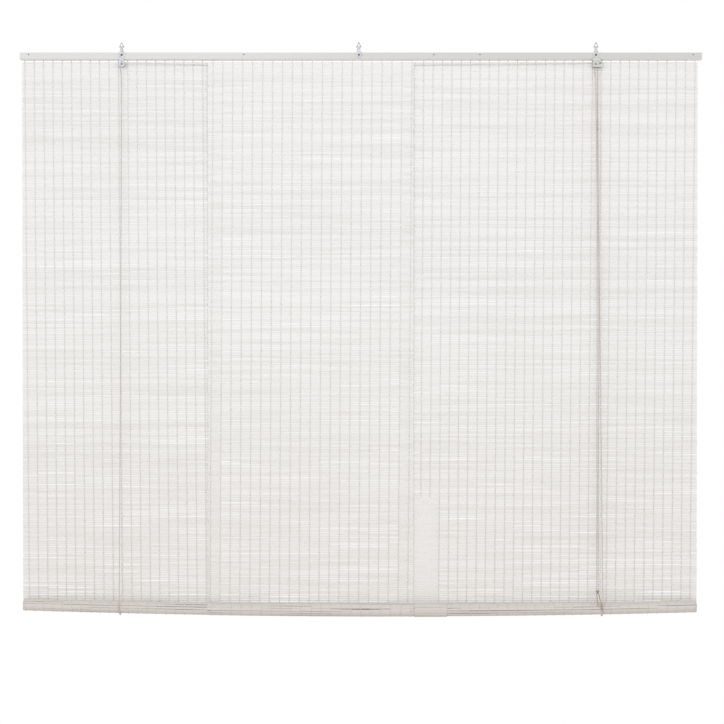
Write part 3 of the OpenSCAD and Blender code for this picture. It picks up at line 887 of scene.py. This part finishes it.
@dataclass
class MatSet:
    """The three mats that hang from the rail; low down beside the right seam, the warps run behind."""

    pitch: float = 6.76 * MM
    head_rows: int = 2
    head_start: float = 4.0 * MM
    first_slat: float = -16.0 * MM
    cad_thickness: float = 2.2 * MM
    side_spacing: float = 27.5 * MM
    middle_spacing: float = 29.2 * MM
    lap: float = 34.0 * MM
    left_lean: float = 0.010
    middle_lean: float = -0.011
    right_lean: float = -0.011
    patch: Point = (0.150, 0.226, 1.305)
    # Painted light: rows drawn paler below the rail and above the roll.
    painted_light_rows: int = 12
    first_seed: int = 11

    def warp_places(self, side: str) -> List[float]:
        """Gives the places of a mat's warps, from the frame's box of them.

        Args:
            side: which mat.

        Returns:
            Their places along the rail.
        """
        spacing = self.middle_spacing if side == "middle" else self.side_spacing
        low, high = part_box(f"{side}_warps")
        count = round((high.x - low.x) / spacing) + 1
        half = ((high.x - low.x) - (count - 1) * spacing) / 2
        return [low.x + half + k * spacing for k in range(count)]

    def hang_of(self, side: str) -> Hang:
        """Gives how a mat hangs, from its box."""
        low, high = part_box(f"{side}_mat")
        half = self.cad_thickness / 2
        return Hang(high.z, low.z, high.y - half, low.y + half)

    def rows_of(self, hang: Hang) -> List[float]:
        """Gives the slats' places down a mat: a few in the rail, a gap under it, then the rest."""
        start = hang.top - self.first_slat
        count = int((hang.top - hang.foot - start) / self.pitch)
        head = [self.head_start + k * self.pitch for k in range(self.head_rows)]
        return head + [start + (k + 0.5) * self.pitch for k in range(count)]

    def build(self, bamboo: bpy.types.Material, thread: bpy.types.Material) -> None:
        """Builds the mats, and gives each piece its own copy of its mesh.

        Args:
            bamboo: the slats' finish.
            thread: the warps' finish.
        """
        leans = {"left": self.left_lean, "middle": self.middle_lean, "right": self.right_lean}
        for seed, (side, lean) in enumerate(leans.items(), self.first_seed):
            hang = self.hang_of(side)
            low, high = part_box(f"{side}_mat")
            mat = SlatMat(f"{side}_slats", low.x, high.x, self.warp_places(side), self.rows_of(hang), hang,
                          seed, self.pitch, lean=lean, painted_light_rows=self.painted_light_rows)
            if side == "middle":
                mat.closed = [(low.x, low.x + self.lap, 0.0), (high.x - self.lap, high.x, 0.0)]
            if side == "right":
                mat.closed = mat.tucked = [self.patch]
            slats = seat(mat.slats(bamboo), Body.HEAD, Slot.BAMBOO, f"{side}_mat")
            threads = seat(mat.threads(f"{side}_threads", thread), Body.HEAD, Slot.WARP, f"{side}_warps")
            self.shorten(slats)
            self.shorten(threads)

    def shorten(self, piece: bpy.types.Object) -> None:
        """Gives a piece of a mat its own copy of its mesh."""
        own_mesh(piece)


@dataclass
class BottomRoll:
    """The lower ends of the mats, wound on the rod."""

    thickness: float = 1.3 * MM
    turn_pitch: float = 2.75 * MM
    layer: float = 0.5 * MM
    band_layer: float = 1.6 * MM
    core: float = 8.9 * MM
    roll_gap: float = 0.3 * MM
    roll_drift: float = 2.1 * MM
    open_share: float = 0.08
    widest: float = 0.9 * MM
    edge: float = 4.0 * MM
    seam: Pair = (0.157, 0.252)
    band_edge: float = 12.0 * MM
    band_drift: float = 1.0 * MM
    first_seed: int = 41
    band_seed: int = 44
    mats: MatSet = field(default_factory=MatSet)

    def build(self, bamboo: bpy.types.Material, thread: bpy.types.Material) -> None:
        """Builds the wound ends of the three mats, the middle one outside the others, and the seam's band.

        Args:
            bamboo: the slats' finish.
            thread: the warps' finish.
        """
        low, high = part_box("bottom_roll")
        lay = self.lay()
        raised = replace(lay, radius=lay.radius + self.layer)
        first, last = (corner.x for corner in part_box("middle_mat"))
        ends = (("left", (low.x, first), lay, []), ("middle", (first, last), raised, ["bottom_roll"]),
                ("right", (last, high.x), lay, []))
        for seed, (side, span, wound, nodes) in enumerate(ends, self.first_seed):
            mat = self.wound_mat(side, span, wound, seed)
            seat(mat.slats(bamboo), Body.ROLL, Slot.BAMBOO, *nodes)
            seat(mat.threads(f"{side}_roll_threads", thread), Body.ROLL, Slot.WARP)
        seat(self.band(lay).slats(bamboo), Body.ROLL, Slot.BAMBOO)

    def band(self, lay: Winding) -> SlatMat:
        """Gives the doubled band round the roll beside the right seam.

        Args:
            lay: how the mats are wound.

        Returns:
            The band.
        """
        left, right = self.seam
        rows = self.rows(math.tau * lay.radius)
        warps = [left + self.band_edge, (left + right) / 2, right - self.band_edge]
        doubled = replace(lay, radius=lay.radius + self.band_layer)
        return SlatMat("seam_roll_slats", left, right, warps, rows, doubled, self.band_seed,
                       self.mats.pitch, self.thickness, self.roll_gap, self.band_drift, self.band_drift,
                       top_open=0.0, foot_open=0.0)

    def rows(self, length: float) -> List[float]:
        """Gives the slats' places along a length of mat."""
        pitch = self.mats.pitch
        return [(k + 0.5) * pitch for k in range(int(length / pitch))]

    def lay(self) -> Winding:
        """Gives how the mats are wound, from the boxes of the roll and its rod."""
        low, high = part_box("bottom_roll")
        rod_low, rod_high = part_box("roll_rod")
        middle = (rod_low + rod_high) / 2
        outer = (high.y - low.y) / 2 + (self.turn_pitch - self.thickness) / 2
        return Winding(middle.y, middle.z, outer, self.turn_pitch, (high.x - low.x) / 2)

    def wound_mat(self, side: str, span: Pair, lay: Winding, seed: int) -> SlatMat:
        """Gives the wound end of one mat.

        Args:
            side: which mat.
            span: its ends along the roll.
            lay: how it is wound.
            seed: the seed of its random numbers.

        Returns:
            The mat's end.
        """
        left, right = span
        rows = self.rows(lay.length(self.core))
        warps = [x for x in self.mats.warp_places(side) if left + self.edge < x < right - self.edge]
        return SlatMat(f"{side}_roll_slats", left, right, warps, rows, lay, seed, self.mats.pitch,
                       self.thickness, self.roll_gap, self.roll_drift, self.roll_drift,
                       self.open_share, self.open_share, self.widest)


@dataclass
class CordRun:
    """One cord: its route in the frame, and its twisted strands."""

    name: str
    route: List[Point]
    diameter: float = 2.4 * MM
    lay_step: float = 2.0 * MM
    strands: int = 3
    crest_share: float = 1.15
    groove_share: float = 0.92
    steep: float = 0.7
    points: List[Vector] = field(default_factory=list)

    def fine_points(self) -> List[Vector]:
        """Gives the route's points, close enough for the twist to show."""
        coarse = [Vector(p) for p in self.route]
        fine = [coarse[0]]
        for first, second in zip(coarse, coarse[1:]):
            parts = max(1, round((second - first).length / self.lay_step))
            fine += [first.lerp(second, (k + 1) / parts) for k in range(parts)]
        return fine

    def build(self, finish: bpy.types.Material) -> bpy.types.Object:
        """Builds the cord: one ring is drawn out along the route and turned as it goes.

        Args:
            finish: the cord's material.

        Returns:
            The cord.
        """
        self.points = self.fine_points()
        bm = bmesh.new()
        strand = bm.verts.layers.float.new("strand")
        circle = bmesh.ops.create_circle(bm, cap_ends=False, segments=2 * self.strands,
                                         radius=self.diameter / 2)
        ring = circle["verts"]
        edges = list({e for v in ring for e in v.link_edges})
        first_edges = edges
        side = self._start_side()
        self._lay_ring(ring, 0, side, strand)
        for step in range(1, len(self.points)):
            drawn = bmesh.ops.extrude_edge_only(bm, edges=edges)["geom"]
            made = [g for g in drawn if isinstance(g, bmesh.types.BMVert)]
            ring = self._matched(ring, made)
            edges = [g for g in drawn if isinstance(g, bmesh.types.BMEdge) and set(g.verts) <= set(ring)]
            self._lay_ring(ring, step, side, strand)
        bmesh.ops.holes_fill(bm, edges=first_edges + edges, sides=0)
        return finish_mesh(self.name, bm, finish, True)

    def _start_side(self) -> Vector:
        """Gives a direction beside the route at its start."""
        way = (self.points[1] - self.points[0]).normalized()
        return Vector((1, 0, 0)) if abs(way.x) < self.steep else Vector((0, 1, 0))

    @staticmethod
    def _matched(ring: Sequence[bmesh.types.BMVert],
                 made: Sequence[bmesh.types.BMVert]) -> List[bmesh.types.BMVert]:
        """Puts new points in the order of the ring that they were drawn from."""
        by_old = {}
        for vert in made:
            for edge in vert.link_edges:
                by_old[edge.other_vert(vert)] = vert
        return [by_old[vert] for vert in ring]

    def _lay_ring(self, ring: List[bmesh.types.BMVert], step: int, side: Vector,
                  strand: bmesh.types.BMLayerItem) -> None:
        """Sets one ring across the route, turned by the twist.

        Args:
            ring: the ring's points.
            step: the ring's number along the route.
            side: a direction beside the route.
            strand: the layer that tells strands from grooves.
        """
        before = self.points[max(step - 1, 0)]
        after = self.points[min(step + 1, len(self.points) - 1)]
        way = (after - before).normalized()
        across = way.cross(side).normalized()
        beside = across.cross(way).normalized()
        turn = step * math.tau / (2 * self.strands)
        for number, vert in enumerate(ring):
            angle = number * math.tau / len(ring) + turn * 0.5
            crest = number % 2 == 0
            radius = self.diameter / 2 * (self.crest_share if crest else self.groove_share)
            vert.co = self.points[step] + (beside * math.cos(angle) + across * math.sin(angle)) * radius
            vert[strand] = 1.0 if crest else 0.0


@dataclass(frozen=True)
class Sway:
    """How a cord would move out in front of the roll as it rises, shortening along a leaning axis; only the
    numbers are kept here.
    """

    axis: Point
    anchor: Point
    keep: float

    def apply(self, piece: bpy.types.Object) -> None:
        """Gives a piece its own copy of its mesh."""
        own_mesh(piece)

    def held_at(self, anchor: Point) -> "Sway":
        """Gives the same motion about another place."""
        return replace(self, anchor=anchor)


LEAVING = Sway((0.0, -0.883, 0.470), (0.0, 0.0, 0.0), 0.1)
HANGING = Sway((0.0, 0.991, 0.134), (0.0, -0.225, -1.571), 0.9)


@dataclass
class CordSet:
    """The lift cords, their loops under the roll, the transfer cord, the pull cords and their knot."""

    left_x: float = -0.701
    right_x: float = 0.689
    axle_z: float = -23.8 * MM
    turn: float = 5.2 * MM
    wheel_y: float = -19.1 * MM
    groove_front_y: float = -19.5 * MM
    groove_rear_y: float = -15.3 * MM
    layer_y: float = -8.975 * MM
    front_y: float = -52.15 * MM
    back_y: float = -6.7 * MM
    strand_top_y: float = -2.5 * MM
    rail_half: float = 10.0 * MM
    roll_z: float = -1.616
    play: float = 0.3 * MM
    knot: Point = (0.695084, -37.65 * MM, -1.571)
    knot_half: float = 4.5 * MM
    knot_size: float = 1.35 * MM
    knot_depth: float = 1.3 * MM
    knot_heart: float = 1.0 * MM
    knot_steps: int = 48
    loop_steps: int = 24
    arc_step: float = 22.5
    strand_gap: float = 3.24 * MM
    stub: float = 2.4 * MM
    lift_lead_foot: float = -0.045
    turn_foot: float = -0.037
    lead_foot: float = -0.142
    line_top: float = -0.116
    left_foot: float = -1.15
    right_foot: float = 3.65
    transfer_shares: Tuple[Point, ...] = (
        (0.043, 0.05, 0.65), (0.108, 0.4, 0.23), (0.165, 1, -0.08), (0.237, 1, -0.19), (0.5, 1, -0.27),
        (0.568, 1, -0.19), (0.64, 1, -0.08), (0.712, 0.75, 0.12), (0.82, 0.6, 0.38), (0.935, 0.48, 0.77))
    left_shares: Tuple[Pair, ...] = ((0.032, -0.15), (0.5, -0.55))
    right_shares: Tuple[Pair, ...] = ((0.032, 0.0), (0.175, 0.35), (0.42, 1.9), (0.62, 2.55))
    rear_shares: Tuple[Point, ...] = ((0.06, 0.04, 1.03), (0.45, 0.42, 0.85), (0.82, 0.8, 0.7))
    front_shares: Tuple[Point, ...] = (
        (0.06, 0.04, 1.08), (0.18, 0.18, 1.5), (0.45, 0.46, 1.75), (0.82, 0.82, 1.55))
    short_shares: Tuple[Point, ...] = ((-0.6, 0.7, -1.4), (-0.45, 1.15, -2.9), (-0.35, 1.15, -3.8))
    long_shares: Tuple[Point, ...] = ((0.75, 0.7, -1.4), (1.55, 1.15, -2.9), (1.6, 1.15, -5.3))
    roll: Winding = field(default_factory=lambda: BottomRoll().lay())

    @staticmethod
    def between(first: float, second: float, share: float) -> float:
        """Gives the value at a share of the way from first to second."""
        return first + (second - first) * share

    def arc(self, x: float, y: float, start: float, end: float) -> List[Point]:
        """Gives the points of a cord on a wheel.

        Args:
            x: the wheel's middle along the rail.
            y: the cord's groove.
            start: the angle where it starts, in degrees.
            end: the angle where it ends.

        Returns:
            The points.
        """
        steps = round((start - end) / self.arc_step)
        angles = [math.radians(start + (end - start) * k / steps) for k in range(steps + 1)]
        return [(x + self.turn * math.cos(a), y, self.axle_z + self.turn * math.sin(a)) for a in angles]

    def front_route(self, x: float, y: float, shares: Sequence[Pair], foot_x: float) -> List[Point]:
        """Gives a front strand's route, from its wheel to the roll.

        Args:
            x: the wheel's middle along the rail.
            y: the cord's groove.
            shares: for each place between, the share of the way down and the wheel's radii aside.
            foot_x: the place along the roll where it ends.

        Returns:
            The points.
        """
        middle = [(x + aside * self.turn, self.between(y, self.front_y, down),
                   self.between(self.axle_z, self.roll_z, down)) for down, aside in shares]
        foot_z = self.roll_z - self.roll.drop(foot_x) + self.play
        foot = (foot_x, self.front_y - self.roll.growth(foot_x), foot_z)
        return [(x - self.turn, y, self.axle_z - self.play), *middle, foot]

    def back_route(self, x: float) -> List[Point]:
        """Gives a back strand's route, from the rail's top to the roll."""
        return [(x, self.strand_top_y, self.rail_half), (x, self.strand_top_y, -self.rail_half),
                (x, self.back_y + self.roll.growth(x), self.roll_z - self.roll.drop(x) + self.play)]

    def loop_route(self, x: float) -> List[Point]:
        """Gives the route of a loop under the roll."""
        middle = (self.front_y + self.back_y) / 2
        radius = (self.back_y - self.front_y) / 2 + self.roll.growth(x)
        axis_z = self.roll_z - self.roll.drop(x)
        angles = [math.pi * k / self.loop_steps for k in range(self.loop_steps + 1)]
        return [(x, middle - radius * math.cos(a), axis_z - radius * math.sin(a)) for a in angles]

    def transfer_route(self) -> List[Point]:
        """Gives the transfer cord's route, from the left wheel to the lock."""
        middle = [(self.between(self.left_x, self.right_x, along),
                   self.between(self.wheel_y, self.layer_y, deep),
                   self.axle_z + high * self.turn) for along, deep, high in self.transfer_shares]
        return (self.arc(self.left_x, self.wheel_y, 180, 90) + middle
                + self.arc(self.right_x, self.groove_rear_y, 90, 0))

    def pull_points(self, shares: Sequence[Point], y: float) -> List[Point]:
        """Gives the points of a pull cord between the lock and the knot.

        Args:
            shares: for each point, the shares of the way down and forward, and the wheel's radii aside.
            y: the cord's groove.

        Returns:
            The points.
        """
        foot = self.knot[2] + self.knot_half
        return [(self.right_x + aside * self.turn, self.between(y, self.knot[1], forward),
                 self.between(self.axle_z, foot, down)) for down, forward, aside in shares]

    def tail_route(self, x: float, shares: Sequence[Point]) -> List[Point]:
        """Gives a tail's route: straight out of the knot, then forward and down over the roll.

        Args:
            x: the place along the rail where it leaves the knot.
            shares: for each point, the wheel's radii aside, the share of the way forward to the front of
                the roll, and the height in knots, which is less than 0 below the knot.

        Returns:
            The points.
        """
        top = self.knot[2] - self.knot_half
        lower = [(self.knot[0] + aside * self.turn, self.between(self.knot[1], self.front_y, forward),
                  top + knots * 2 * self.knot_half) for aside, forward, knots in shares]
        return [self.heart(-1), (x, self.knot[1], top), (x, self.knot[1], top - self.stub), *lower]

    def heart(self, way: int) -> Point:
        """Gives the place in the knot where a cord ends, above its middle for 1 and below it for -1."""
        return (self.knot[0], self.knot[1], self.knot[2] + way * self.knot_heart)

    def build(self, cord: bpy.types.Material, clean: bpy.types.Material, handled: bpy.types.Material,
              knot: bpy.types.Material) -> None:
        """Args:
            cord: the finish of the lift cords.
            clean: the finish of the transfer cord, which the rail shelters.
            handled: the finish of the pull cords.
            knot: the finish of the knot and its tails.
        """
        feet = {"left": (self.left_x, self.wheel_y, self.left_shares, self.left_foot),
                "right": (self.right_x, self.groove_front_y, self.right_shares, self.right_foot)}
        for side, (x, y, shares, foot) in feet.items():
            foot_x = x + foot * self.turn
            route = self.front_route(x, y, shares, foot_x)
            lead, line = self.parted(route, self.lift_lead_foot, self.lift_lead_foot)
            self.still(f"{side}_lift_lead", lead, cord)
            self.held(f"{side}_lift_cord_front", line, cord)
            self.held(f"{side}_lift_cord_back", self.back_route(foot_x), cord)
            loop = CordRun(f"{side}_loop", self.loop_route(foot_x))
            seat(loop.build(cord), Body.LOOPS, Slot.CORD, f"{side}_cord_loop")
        self.still("transfer_line", self.transfer_route(), clean, "transfer_cord")
        self.pulls(handled, knot)

    def still(self, name: str, route: List[Point], cord: bpy.types.Material, *nodes: str) -> None:
        """Builds a cord that stays as it is.

        Args:
            name: the piece's name.
            route: its points.
            cord: its material.
            nodes: the nodes that it stands for.
        """
        seat(CordRun(name, route).build(cord), Body.HEAD, Slot.CORD, *nodes)

    def held(self, node: str, route: List[Point], cord: bpy.types.Material) -> None:
        """Builds a strand of a lift cord, with its own copy of its mesh.

        Args:
            node: the frame's node for it.
            route: its points.
            cord: its material.
        """
        piece = seat(CordRun(node.replace("cord", "strand"), route).build(cord), Body.HEAD, Slot.CORD, node)
        length = route[0][2] - route[-1][2]
        (length - TRAVEL) / length
        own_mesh(piece)

    def pulls(self, cord: bpy.types.Material, knot: bpy.types.Material) -> None:
        """Builds the pull cords, their knot and its tails.

        Args:
            cord: the finish of the pull cords.
            knot: the finish of the knot and its tails.
        """
        top = self.knot[2] + self.knot_half
        near = self.knot[0] - self.strand_gap
        far = self.knot[0] + self.strand_gap
        rear = [(self.right_x + self.turn, self.groove_rear_y, self.axle_z - self.play),
                *self.pull_points(self.rear_shares, self.groove_rear_y),
                (near, self.knot[1], top), self.heart(1)]
        front = [*self.arc(self.right_x, self.groove_front_y, 180, 0),
                 *self.pull_points(self.front_shares, self.groove_front_y),
                 (far, self.knot[1], top), self.heart(1)]
        tied = seat(self.knot_piece(knot), Body.HEAD, Slot.CORD, "pull_knot")
        HANGING.apply(tied)
        for node, route in (("rear_pull_cord", rear), ("front_pull_cord", front)):
            turn, hanging = self.parted(route, self.turn_foot, self.turn_foot)
            upper, lower = self.parted(hanging, self.lead_foot, self.line_top)
            self.still(node.replace("cord", "turn"), turn, cord)
            self.free(node.replace("cord", "lead"), upper, cord, LEAVING.held_at(upper[0]), "knot")
            self.free(node.replace("cord", "line"), lower, cord, HANGING, "knot", [tied], node)
        tails = (("short_tail", near, self.short_shares), ("long_tail", far, self.long_shares))
        for node, x, shares in tails:
            self.free(f"{node}_end", self.tail_route(x, shares), knot, HANGING, "bare", [], node)

    def parted(self, route: List[Point], foot: float, top: float) -> Tuple[List[Point], List[Point]]:
        """Parts a cord below its wheel, so that each part can move in its own way.

        Args:
            route: the whole cord's points.
            foot: the height where the lead from the wheel ends.
            top: the height where the line starts, at the lead's end or inside it.

        Returns:
            The points of the lead, and of the line.
        """
        lead = [p for p in route if p[2] > foot] + [self.at_height(route, foot)]
        line = [self.at_height(route, top)] + [p for p in route if p[2] < top]
        return lead, line

    def at_height(self, route: List[Point], z: float) -> Point:
        """Gives the point of a route that falls through a height."""
        first, second = next(pair for pair in zip(route, route[1:]) if pair[0][2] >= z > pair[1][2])
        share = (first[2] - z) / (first[2] - second[2])
        return tuple(self.between(a, b, share) for a, b in zip(first, second))

    def free(self, name: str, route: List[Point], finish: bpy.types.Material, sway: Sway, far_end: str,
             pieces: Sequence[bpy.types.Object] = (), node: str = "") -> None:
        """Args:
            name: the piece's name.
            route: its points.
            finish: its material.
            sway: how it would move as the roll rises; applying it only gives the piece its own mesh.
            far_end: what its far end is; not used.
            pieces: the pieces on it; not used.
            node: the frame's node for it, if it stands for one.
        """
        run = CordRun(name, route)
        piece = seat(run.build(finish), Body.HEAD, Slot.CORD, *([node] if node else []))
        length = sum((b - a).length for a, b in zip(run.points, run.points[1:]))
        sway.apply(piece)

    def knot_piece(self, finish: bpy.types.Material) -> bpy.types.Object:
        """Builds the knot: an overhand knot of the cord, drawn tight.

        Args:
            finish: the cord's material.

        Returns:
            The knot.
        """
        angles = [math.tau * k / self.knot_steps for k in range(self.knot_steps + 1)]
        route = [(self.knot[0] + self.knot_size * (math.sin(a) + 2 * math.sin(2 * a)),
                  self.knot[1] - self.knot_depth * math.sin(3 * a),
                  self.knot[2] + self.knot_size * (math.cos(a) - 2 * math.cos(2 * a))) for a in angles]
        return CordRun("tied_knot", route, lay_step=self.knot_size).build(finish)


@dataclass
class Hardware:
    """The frame's own pieces that show as they are: battens, nails, plates, rings, wheels and rod."""

    slots: Dict[Slot, bpy.types.Material]
    own: Dict[str, bpy.types.Material]

    def dress(self) -> None:
        """Gives every node of the frame the finish of its slot, or one of its own."""
        for part in frame["record"]["subparts"]:
            name = part["node"]
            finish = self.own.get(name, self.slots[Slot(part["material_slot"])])
            node = frame["nodes"][name]
            node.data.materials.clear()
            node.data.materials.append(finish)
            LOG.info("%s: %s", name, finish.name)


@dataclass(frozen=True)
class Lamp:
    """A square soft lamp: its name, its place, its side and its power in watts."""

    name: str
    place: Point
    size: float
    power: float

    def hang(self, target: Point) -> None:
        """Adds the lamp, turned to a place."""
        data = bpy.data.lights.new(self.name, "AREA")
        data.size = self.size
        data.energy = self.power
        made = bpy.data.objects.new(self.name, data)
        made.location = self.place
        way = Vector(target) - Vector(self.place)
        made.rotation_euler = way.to_track_quat("-Z", "Y").to_euler()
        bpy.context.scene.collection.objects.link(made)


@dataclass
class Studio:
    """The pale floor, the soft light and the camera."""

    floor_z: float = -2.5
    floor_half: float = 1.9
    floor_pale: Colour = (0.86, 0.84, 0.81)
    floor_dark: Colour = (0.83, 0.81, 0.78)
    floor_scale: Point = (1.5, 1.5, 1.5)
    distance: float = 4.5
    camera_x: float = 0.0033
    camera_z: float = -0.8366
    pitch: float = 0.777
    lens: float = 75.77
    sensor: float = 36.0
    ambient: float = 0.80
    lit: Point = (0.0, 0.0, -0.8)
    lamps: Tuple[Lamp, ...] = (Lamp("key", (-1.6, -4.6, 0.9), 3.2, 50.0),
                               Lamp("fill", (1.9, -4.6, 0.6), 3.0, 30.0))

    def build(self) -> None:
        """Builds the floor, world, lamps and camera."""
        self.floor()
        self.world()
        for lamp in self.lamps:
            lamp.hang(self.lit)
        self.camera()
        bpy.context.scene.view_settings.view_transform = "Standard"

    def floor(self) -> None:
        """Makes the floor, below the blind and out of the photograph's view."""
        bm = bmesh.new()
        bmesh.ops.create_grid(bm, x_segments=1, y_segments=1, size=self.floor_half)
        bmesh.ops.translate(bm, vec=(0, 0, self.floor_z), verts=bm.verts)
        web = Surface("studio_floor")
        colour = web.mix(web.grain(self.floor_scale, 2.0), self.floor_pale, self.floor_dark)
        floor = finish_mesh("studio_floor", bm, web.dress(Base_Color=colour, Roughness=0.9), False)

    def world(self) -> None:
        """Makes the world: white to the camera and in gloss, and a soft light on the blind."""
        world = bpy.data.worlds.new("studio")
        world.use_nodes = True
        web = Web(world.node_tree)
        seen = web.node("ShaderNodeLightPath", out="Is Camera Ray")
        for kind in ("Glossy", "Transmission"):
            seen = seen.larger(web.node("ShaderNodeLightPath", out=f"Is {kind} Ray"))
        level = web.node("ShaderNodeMapRange", links={"Value": seen, "To Min": self.ambient, "To Max": 1.0})
        white = (1.0, 1.0, 1.0, 1.0)
        light = web.node("ShaderNodeBackground", links={"Color": white, "Strength": level})
        web.end("ShaderNodeOutputWorld", light)
        bpy.context.scene.world = world

    def camera(self) -> None:
        """Makes the camera, straight in front and looking a little down."""
        data = bpy.data.cameras.new("camera")
        data.sensor_width = self.sensor
        data.lens = self.lens
        made = bpy.data.objects.new("camera", data)
        made.location = (self.camera_x, -self.distance, self.camera_z)
        made.rotation_euler = (math.radians(90.0 - self.pitch), 0.0, 0.0)
        bpy.context.scene.collection.objects.link(made)
        bpy.context.scene.camera = made


def finishes() -> Dict[Slot, bpy.types.Material]:
    """Makes the finish of each slot."""
    return {
        Slot.RAIL: PaintedWood().make(),
        Slot.BAMBOO: PaintedBamboo().make(),
        Slot.WARP: TwistedThread().make(),
        Slot.ROD: BareWood().make(),
        Slot.PLATE: Metal("zinc_plate", (0.575, 0.57, 0.59), (0.47, 0.465, 0.485), (0.26, 0.24, 0.24),
                          0.48).make(),
        Slot.SCREW: Metal("dark_steel", (0.16, 0.15, 0.16), (0.08, 0.075, 0.08), (0.16, 0.09, 0.05)).make(),
        Slot.WHEEL: Metal("wheel_metal", (0.50, 0.48, 0.46), (0.38, 0.36, 0.34), (0.26, 0.22, 0.18)).make(),
        Slot.RIVET: Metal("rivet_metal", (0.20, 0.20, 0.20), (0.14, 0.14, 0.14), (0.10, 0.09, 0.08)).make(),
        Slot.CORD: TwistedCord().make(),
    }


def own_finishes() -> Dict[str, bpy.types.Material]:
    """Makes the finishes of the nodes that differ from their slot: the lock and the wire rings."""
    lock = Metal("lock_zinc", (0.545, 0.55, 0.53), (0.44, 0.445, 0.425), (0.26, 0.24, 0.21), 0.46).make()
    wire = Metal("ring_wire", (0.34, 0.34, 0.36), (0.25, 0.25, 0.27), (0.20, 0.18, 0.16), 0.4).make()
    finish = {f"{side}_ring": wire for side in ("left", "middle", "right")}
    finish.update({"lock_body": lock, "lock_cam": lock})
    return finish


def main() -> None:
    """Builds the studio, the hardware, the cords, the mats and the roll, in that order."""
    logging.basicConfig(level=logging.INFO, format="%(name)s %(message)s")
    Studio().build()
    slots = finishes()
    Hardware(slots, own_finishes()).dress()
    soiled = TwistedCord((0.52, 0.46, 0.33), (0.22, 0.17, 0.10), "soiled_cord").make()
    handled = TwistedCord((0.77, 0.72, 0.68), (0.50, 0.42, 0.37), "handled_cord").make()
    clean = TwistedCord((0.86, 0.85, 0.83), (0.63, 0.61, 0.585), "clean_cord").make()
    CordSet().build(slots[Slot.CORD], clean, handled, soiled)
    MatSet().build(slots[Slot.BAMBOO], slots[Slot.WARP])
    back = PaintedBamboo("bamboo_back", pale=(0.72, 0.685, 0.655), dull=(0.62, 0.585, 0.55),
                         bare=(0.48, 0.39, 0.30), foot_shade_tint=(0.63, 0.59, 0.545), worn_share=0.4).make()
    BottomRoll().build(back, slots[Slot.WARP])


if __name__ == "__main__":
    main()
